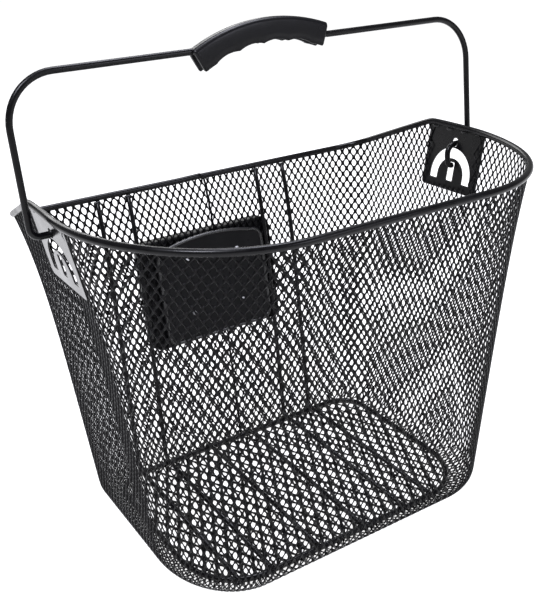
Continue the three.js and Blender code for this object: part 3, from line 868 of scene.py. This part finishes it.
def build_bail():
    arch = [arch_point(ARCH_HALF_ANGLE * share) for share in ARCH_SHARES]
    corners = [
        (TIP_X, 0, -HOOK_DROP),
        (HOOK_X, 0, -HOOK_DROP),
        (HOOK_X, 0, 0),
        (BAIL_FOOT_X, 0, 0),
        (BAIL_TOP_X, 0, BAIL_HEIGHT),
        (ARCH_RADIUS * math.sin(ARCH_HALF_ANGLE), 0, BAIL_HEIGHT),
        arch[0],
    ]
    right = [*bent(corners, BAIL_BENDS, BAIL_BEND_STEPS), *(Vector(point) for point in arch[1:])]
    left = [Vector((-point.x, point.y, point.z)) for point in reversed(right)]
    path = on_bail([*right, Vector(arch_point(0)), *left])
    vertices, faces = sweep(path, BAIL_WIRE / 2, BAIL_SIDES)
    make_piece(
        "bail_rod",
        vertices,
        faces,
        WIRE_COAT,
        body="bail",
        replaces=["bail_wire"],
    )


GRIP_CENTRE = (3.5 * MM, -19 * MM)
GRIP_TURN = math.radians(-3.8)
GRIP_OUTER = 130.5 * MM
GRIP_ROOF = GRIP_OUTER - 2.4 * MM
GRIP_INNER = GRIP_OUTER - 16.2 * MM
GRIP_HALF_ANGLE = math.radians(24)
GRIP_CUSP = math.radians(9.6)
GRIP_GROOVES = 4
GRIP_SCALLOP = 1.6 * MM
GRIP_SCALLOP_POWER = 0.8
GRIP_HALF_WIDTH = 5.5 * MM
GRIP_EDGE = 3.4 * MM
GRIP_EDGE_STEPS = 6
GRIP_FOOT = 0.9 * MM  # chamfer along the lower edges
GRIP_FOOT_SIDE = (0.15 * MM, 0.8 * MM)  # its outer end: in from the side, up from the bottom
GRIP_SIDE_SHARES = (0.3, 0.55)  # points up the flat sides
GRIP_SLICES = 96
# at each end the section shrinks by this much: share of the half angle, and shrink
GRIP_ENDS = ((1.0, 0.9 * MM), (0.995, 0.35 * MM))
GRIP_BODY = 0.985
CHANNEL_HALF_WIDTH = 2.7 * MM
CHANNEL_CORNER = 1.2 * MM
CHANNEL_FLARE = 0.5 * MM
CHANNEL_FLARE_UP = 0.05 * MM
CHANNEL_SHRINK = 0.3  # share of the section's shrink by which the channel widens


def grip_point(radius, angle, y=0.0):
    turn = angle + GRIP_TURN
    return (GRIP_CENTRE[0] + radius * math.sin(turn), y, GRIP_CENTRE[1] + radius * math.cos(turn))


def grip_bottom(angle):
    """Radius of the grip's lower edge, with the finger grooves' rounded cusps."""
    turn = abs(angle) / GRIP_CUSP
    if turn > GRIP_GROOVES / 2:
        return GRIP_INNER
    return GRIP_INNER + GRIP_SCALLOP * abs(math.sin(math.pi * turn)) ** GRIP_SCALLOP_POWER


def grip_section(angle, shrink=0.0):
    """Closed inverted-U cross-section at an angle along the arch, as (y, radius) pairs."""
    bottom = grip_bottom(angle) + shrink
    top = GRIP_OUTER - shrink
    half = GRIP_HALF_WIDTH - shrink
    edge = GRIP_EDGE
    inner = CHANNEL_HALF_WIDTH + shrink * CHANNEL_SHRINK
    foot_in, foot_up = GRIP_FOOT_SIDE
    outside = [(-half + GRIP_FOOT, bottom), (-half + foot_in, bottom + foot_up)]
    outside += [(-half, bottom + (top - bottom) * share) for share in GRIP_SIDE_SHARES]
    for step in range(GRIP_EDGE_STEPS + 1):
        turn = math.pi / 2 * step / GRIP_EDGE_STEPS
        y = -half + edge - edge * math.cos(turn)
        outside.append((y, top - edge + edge * math.sin(turn)))
    inside = [
        (inner - CHANNEL_CORNER, GRIP_ROOF),
        (inner, GRIP_ROOF - CHANNEL_CORNER),
        (inner, bottom + GRIP_FOOT),
        (inner + CHANNEL_FLARE, bottom + CHANNEL_FLARE_UP),
    ]
    return [
        *outside,
        (0.0, top),
        *((-y, radius) for y, radius in reversed(outside)),
        *reversed(inside),
        *((-y, radius) for y, radius in inside),
    ]


GRIP_SHARP = math.radians(50)
PARTING_WIDTH = 0.5 * MM
PARTING_SINK = 0.1 * MM
PARTING_SHARES = np.linspace(-0.96, 0.96, 60)
PARTING_SIDES = 6


def build_grip():
    body = [(share * GRIP_BODY, 0.0) for share in np.linspace(-1, 1, GRIP_SLICES + 1)]
    first = [(-share, shrink) for share, shrink in GRIP_ENDS]
    stations = [
        (GRIP_HALF_ANGLE * share, shrink) for share, shrink in (*first, *body, *GRIP_ENDS[::-1])
    ]
    vertices = []
    for angle, shrink in stations:
        for y, radius in grip_section(angle, shrink):
            vertices.append(grip_point(radius, angle, y))
    size = len(grip_section(0))
    faces = []
    last = (len(stations) - 1) * size
    for start in range(0, last, size):
        following = start + size
        for step in range(size):
            after = (step + 1) % size
            faces.append((start + step, start + after, following + after, following + step))
    faces.append(tuple(range(size))[::-1])
    faces.append(tuple(range(last, last + size)))
    grip = make_piece(
        "hand_grip",
        on_bail(vertices),
        faces,
        GRIP_PLASTIC,
        body="bail",
        replaces=["bail_grip"],
    )
    grip.data.set_sharp_from_angle(angle=GRIP_SHARP)


def build_parting_line():
    """The mould's parting line, a fine raised thread along the grip's crown."""
    radius = GRIP_OUTER - PARTING_SINK
    path = [grip_point(radius, GRIP_HALF_ANGLE * share) for share in PARTING_SHARES]
    vertices, faces = sweep(on_bail(path), PARTING_WIDTH / 2, PARTING_SIDES)
    make_piece("grip_parting_line", vertices, faces, GRIP_PLASTIC, body="bail")


# ---- bail plates ---------------------------------------------------------------------------------

PLATE_X = 166.3 * MM
PLATE_TILT = math.radians(11)
PLATE = dict(half=30 * MM, top=11.2 * MM, bottom=-37.4 * MM, corner=3 * MM)
PLATE_HOLE = dict(y=0.9 * MM, radius=3.4 * MM)
PLATE_ARCH = dict(y=-25.7 * MM, outer=22 * MM, inner=13.8 * MM, foot=-30.2 * MM)
PLATE_SLOT = dict(half=3.5 * MM, bottom=-29.9 * MM, top=-14.8 * MM)
PLATE_ROUND = 0.8 * MM  # corners of the slots
PLATE_BEVEL = 0.25 * MM
PLATE_SHARP = math.radians(35)
PLATE_WELDS_Y = (-24 * MM, -8 * MM, 8 * MM, 24 * MM)
PLATE_WELD = dict(up=10.0 * MM, length=7 * MM, radius=1.3 * MM)


def arc(x, y, radius, start, end, steps):
    """Points of an arc round (x, y), angles in degrees."""
    turns = np.radians(np.linspace(start, end, steps + 1))
    return [(x + radius * math.cos(turn), y + radius * math.sin(turn)) for turn in turns]


def plate_loops():
    """Outline, hinge hole, arched slot and short slot."""
    half, top, bottom, corner = (PLATE[key] for key in ("half", "top", "bottom", "corner"))
    outer = [(half, top), (-half, top)]
    outer += arc(-half + corner, bottom + corner, corner, 180, 270, 6)
    outer += arc(half - corner, bottom + corner, corner, 270, 360, 6)
    hole = arc(0, PLATE_HOLE["y"], PLATE_HOLE["radius"], 0, 345, 23)
    bend = PLATE_ROUND
    y, out, inn, low = (PLATE_ARCH[key] for key in ("y", "outer", "inner", "foot"))
    arch = arc(out - bend, low + bend, bend, 270, 360, 3)
    arch += arc(0, y, out, 0, 180, 40)
    arch += arc(-out + bend, low + bend, bend, 180, 270, 3)
    arch += arc(-inn - bend, low + bend, bend, 270, 360, 3)
    arch += arc(0, y, inn, 180, 0, 30)
    arch += arc(inn + bend, low + bend, bend, 180, 270, 3)
    wide, base, cap = (PLATE_SLOT[key] for key in ("half", "bottom", "top"))
    slot = arc(wide - bend, base + bend, bend, 270, 360, 3)
    slot += arc(wide - bend, cap - bend, bend, 0, 90, 3)
    slot += arc(-wide + bend, cap - bend, bend, 90, 180, 3)
    slot += arc(-wide + bend, base + bend, bend, 180, 270, 3)
    return [outer, hole, arch, slot]


BEVEL_RESOLUTION = 4


def flat_solid(name, loops, depth, bevel, matrix, material, replaces):
    """A plate with holes: a filled flat curve, thickened and bevelled, then placed as a mesh."""
    curve = bpy.data.curves.new(name, "CURVE")
    curve.dimensions = "2D"
    curve.fill_mode = "BOTH"
    curve.extrude = depth / 2 - bevel
    curve.bevel_depth = bevel
    curve.bevel_resolution = BEVEL_RESOLUTION
    curve.offset = -bevel
    for loop in loops:
        spline = curve.splines.new("POLY")
        spline.points.add(len(loop) - 1)
        spline.use_cyclic_u = True
        for point, (x, y) in zip(spline.points, loop):
            point.co = (x, y, 0, 1)
    drawing = bpy.data.objects.new(name + "_drawing", curve)
    bpy.context.scene.collection.objects.link(drawing)
    bpy.context.view_layer.update()
    evaluated = drawing.evaluated_get(bpy.context.evaluated_depsgraph_get())
    mesh = bpy.data.meshes.new_from_object(evaluated)
    bpy.data.objects.remove(drawing)
    mesh.name = name
    mesh.transform(matrix)
    mesh.materials.clear()
    mesh.materials.append(material)
    mesh.shade_smooth()
    mesh.set_sharp_from_angle(angle=PLATE_SHARP)
    return link_piece(name, mesh, "basket", replaces)


def plate_frame(side):
    """Places a plate's drawing, x along the basket's +Y, on the right (1) or left (-1) wall."""
    along = Vector((0, 1, 0))
    up = Vector((side * math.sin(PLATE_TILT), 0, math.cos(PLATE_TILT)))
    normal = along.cross(up)
    matrix = Matrix((along, up, normal)).transposed().to_4x4()
    return Matrix.Translation((side * PLATE_X, 0, HINGE.z)) @ matrix


def build_plates():
    for side, word in ((1, "right"), (-1, "left")):
        matrix = plate_frame(side)
        flat_solid(
            f"hinge_plate_{word}",
            plate_loops(),
            SHEET,
            PLATE_BEVEL,
            matrix,
            PLATE_COAT,
            [f"bail_plate_{word}"],
        )
        beads = []
        for y in PLATE_WELDS_Y:
            place = matrix @ Vector((y, PLATE_WELD["up"], 0))
            beads.append(
                weld_bead(place, (0, 1, 0), PLATE_WELD["length"], PLATE_WELD["radius"])
            )
        vertices, faces = join_parts(beads)
        make_piece(f"plate_welds_{word}", vertices, faces, PLATE_COAT)


# ---- adapter -------------------------------------------------------------------------------------

ADAPTER_X = -3.9 * MM
ADAPTER_Z = 147.5 * MM
BRACKET_BOTTOM = -48.5 * MM
BRACKET_TOP = 42.5 * MM
ADAPTER_LOW = back_wall_y(ADAPTER_Z + BRACKET_BOTTOM)
ADAPTER_HIGH = back_wall_y(ADAPTER_Z + BRACKET_TOP)
ADAPTER_TILT = math.atan2(ADAPTER_HIGH - ADAPTER_LOW, BRACKET_TOP - BRACKET_BOTTOM)
ADAPTER_Y = ADAPTER_LOW - BRACKET_BOTTOM * math.tan(ADAPTER_TILT)
BACKING = dict(half=50 * MM, bottom=-46 * MM, shoulder=36.5 * MM, top=41.5 * MM, corner=10 * MM)
BACKING_THICKNESS = 2.6 * MM
BACKING_BEVEL = 1.2 * MM
BACKING_STAND_OFF = SHEET / 2 + 1.1 * MM
CORNER_STEPS = 10
CROWN_STEPS = 30
BRACKET_BEVEL = 0.6 * MM
BRACKET_SHARP = math.radians(35)
LIP = 2.6 * MM
LIP_SINK = 0.3 * MM
LIP_INSET = 0.6 * LIP
LIP_SIDES = 12
LIP_LEAST_STEP = 0.3 * MM


def adapter_frame():
    """Places the adapter's drawings on the leaning back wall, z towards the inside."""
    along = Vector((1, 0, 0))
    up = Vector((0, math.sin(ADAPTER_TILT), math.cos(ADAPTER_TILT)))
    forward = along.cross(up)
    matrix = Matrix((along, up, forward)).transposed().to_4x4()
    return Matrix.Translation((ADAPTER_X, ADAPTER_Y, ADAPTER_Z)) @ matrix


def curved_corner(start, control, end, steps=CORNER_STEPS):
    """Points of a parabola from start to end that heads for control."""
    start, control, end = Vector(start), Vector(control), Vector(end)
    points = []
    for step in range(steps + 1):
        t = step / steps
        points.append(tuple(start * (1 - t) ** 2 + control * 2 * t * (1 - t) + end * t * t))
    return points


def backing_outline():
    half, bottom, shoulder, top, corner = BACKING.values()
    flat = half - corner
    crown = (0, 2 * top - shoulder)
    points = curved_corner((flat, bottom), (half, bottom), (half, bottom + corner))
    points += curved_corner((half, shoulder - corner), (half, shoulder), (flat, shoulder))
    points += curved_corner((flat, shoulder), crown, (-flat, shoulder), CROWN_STEPS)[1:]
    points += curved_corner((-flat, shoulder), (-half, shoulder), (-half, shoulder - corner))[1:]
    points += curved_corner((-half, bottom + corner), (-half, bottom), (-flat, bottom))
    return points


def build_adapter():
    stand_off = BACKING_STAND_OFF + BACKING_THICKNESS / 2
    matrix = adapter_frame() @ Matrix.Translation((0, 0, stand_off))
    flat_solid(
        "adapter_backing",
        [backing_outline()],
        BACKING_THICKNESS,
        BACKING_BEVEL,
        matrix,
        ADAPTER_PLASTIC,
        ["backing_plate"],
    )
    build_lip(matrix)
    bracket = frame["nodes"]["outer_bracket"]
    finish_node(bracket, ADAPTER_PLASTIC)
    bevel = bracket.modifiers.new("bevel", "BEVEL")
    bevel.width = BRACKET_BEVEL
    bevel.segments = 2
    bevel.angle_limit = BRACKET_SHARP
    for number in range(1, 5):
        finish_node(frame["nodes"][f"bracket_screw_{number}"], ZINC)


def build_lip(matrix):
    """The rounded lip along the edge of the backing plate's open face."""
    outline = np.array(backing_outline())
    step = np.linalg.norm(outline - np.roll(outline, 1, axis=0), axis=1)
    outline = outline[step > LIP_LEAST_STEP]
    centre = np.array([0, (BACKING["top"] + BACKING["bottom"]) / 2])
    inner = centre + (outline - centre) * (1 - LIP_INSET / BACKING["half"])
    height = BACKING_THICKNESS / 2 - LIP_SINK
    path = [tuple(matrix @ Vector((x, y, height))) for x, y in inner]
    vertices, faces = sweep(path, LIP / 2, LIP_SIDES, closed=True)
    make_piece("adapter_lip", vertices, faces, LIP_PLASTIC)


def finish_node(node, material):
    for slot in node.material_slots:
        slot.material = material


# ---- stage ---------------------------------------------------------------------------------------


def build_camera():
    data = bpy.data.cameras.new("camera")
    data.sensor_fit = "HORIZONTAL"
    data.sensor_width = SENSOR_WIDTH
    data.lens = CAMERA_LENS
    data.shift_y = CAMERA_SHIFT
    camera = bpy.data.objects.new("camera", data)
    back = CAMERA_BACK.normalized()
    right = (CAMERA_RIGHT - back * CAMERA_RIGHT.dot(back)).normalized()
    up = back.cross(right)
    turn = Matrix((right, up, back)).transposed().to_4x4()
    camera.matrix_world = Matrix.Translation(CAMERA_PLACE) @ turn
    bpy.context.scene.collection.objects.link(camera)
    bpy.context.scene.camera = camera


STUDIO_REACH = 30.0
FLOOR_DROP = 0.2 * MM  # keeps the floor clear of the mesh's underside
FLOOR_GLOW = 0.90  # the floor is a light table, so that shadows on it stay faint
FLOOR_DARK = (0.52, 0.52, 0.52)
FLOOR_LIGHT = (0.54, 0.54, 0.54)
FLOOR_ROUGHNESS = 0.9
WORLD_STRENGTH = 0.22
COOL_WHITE = (0.88, 0.89, 1)
WHITE = (1, 1, 1)
# name, place, target, size, power, colour
LIGHTS = [
    ("key_above_left", (-0.9, -0.5, 1.7), (0, 0, 0.15), (0.55, 0.55), 26, COOL_WHITE),
    ("fill_front", (0.75, -1.6, 1.0), (0, 0, 0.2), (0.7, 0.7), 7, COOL_WHITE),
    ("above", (0.35, 0.3, 1.7), (0, 0, 0.2), (0.8, 0.8), 22, COOL_WHITE),
    ("behind", (0.3, 1.6, 1.0), (0, 0, 0.2), (1.3, 0.6), 10, WHITE),
]


def build_floor():
    mesh = bpy.data.meshes.new("studio_floor")
    square = ((-1, -1), (1, -1), (1, 1), (-1, 1))
    corners = [(STUDIO_REACH * x, STUDIO_REACH * y, 0) for x, y in square]
    mesh.from_pydata(corners, [], [(0, 1, 2, 3)])
    material, nodes, links, shader = new_material("studio_floor")
    clouds = add_noise(nodes, links, scale=3, detail=2)
    add_tone(nodes, links, shader, clouds, FLOOR_DARK, FLOOR_LIGHT)
    shader.inputs["Roughness"].default_value = FLOOR_ROUGHNESS
    shader.inputs["Emission Color"].default_value = (1, 1, 1, 1)
    shader.inputs["Emission Strength"].default_value = FLOOR_GLOW
    mesh.materials.append(material)
    floor = bpy.data.objects.new("studio_floor", mesh)
    floor.location.z = -FLOOR_DROP
    bpy.context.scene.collection.objects.link(floor)


def area_light(name, place, target, size, power, color):
    data = bpy.data.lights.new(name, "AREA")
    data.color = color
    data.shape = "RECTANGLE"
    data.size, data.size_y = size
    data.energy = power
    light = bpy.data.objects.new(name, data)
    light.location = place
    aim = Vector(target) - Vector(place)
    light.rotation_euler = aim.to_track_quat("-Z", "Y").to_euler()
    bpy.context.scene.collection.objects.link(light)


def build_light():
    world = bpy.data.worlds.new("studio")
    world.use_nodes = True
    background = world.node_tree.nodes["Background"]
    background.inputs["Color"].default_value = (1, 1, 1, 1)
    background.inputs["Strength"].default_value = WORLD_STRENGTH
    bpy.context.scene.world = world
    for settings in LIGHTS:
        area_light(*settings)
    bpy.context.scene.view_settings.view_transform = "Standard"
    bpy.context.scene.view_settings.look = "None"


build_camera()
build_light()
build_floor()
build_wall_mesh()
build_seam()
build_floor_mesh()
build_rim()
build_ring()
build_ribs()
build_floor_wires()
build_welds()
build_bail()
build_grip()
build_parting_line()
build_plates()
build_adapter()
